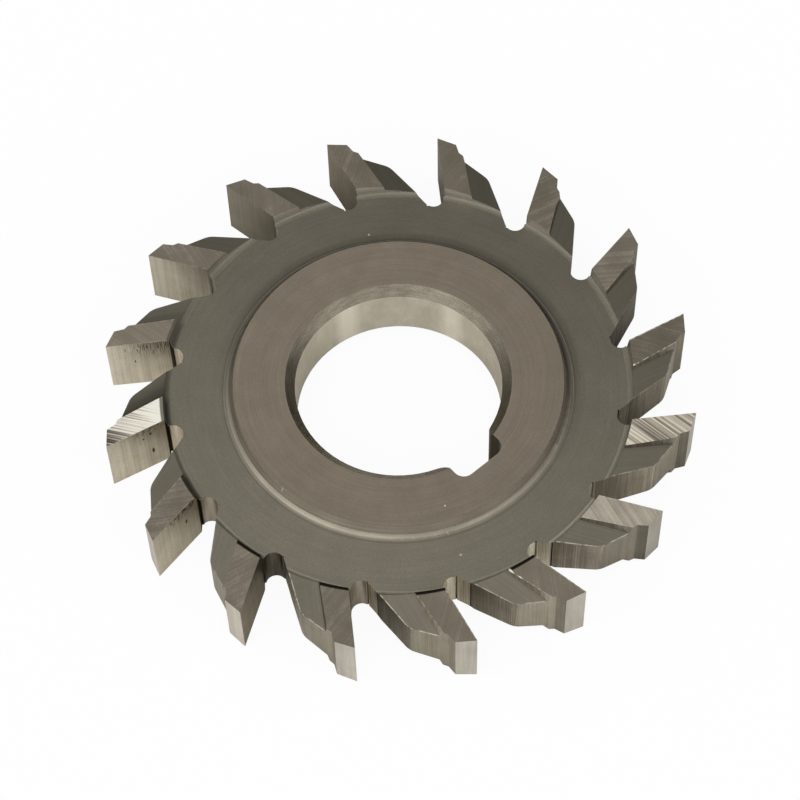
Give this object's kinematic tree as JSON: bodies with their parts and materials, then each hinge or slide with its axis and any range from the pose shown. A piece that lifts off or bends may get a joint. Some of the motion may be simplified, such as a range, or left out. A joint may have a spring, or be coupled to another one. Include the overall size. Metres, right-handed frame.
{
  "type": "side and face cutter",
  "caption": "Straight-tooth side and face milling cutter: a thin steel disc with relieved side lands, round gullets, coved hub and a keyed bore",
  "frame": {"origin": "on the bore's axis, halfway through the cutter's width", "axes": "+Z along the bore, out of either side; +X from the bore's axis through the middle of the keyway; +Y completes a right-handed frame; seen from +Z the cutting edges face counterclockwise"},
  "size_m": [0.0628, 0.0628, 0.008],
  "materials": {
    "ground_steel": "ground and milled high-speed steel, dull grey-brown on the turned faces, bright on the ground lands"
  },
  "bodies": {
    "root": {"cutter": "ground_steel"}
  },
  "joints": []
}
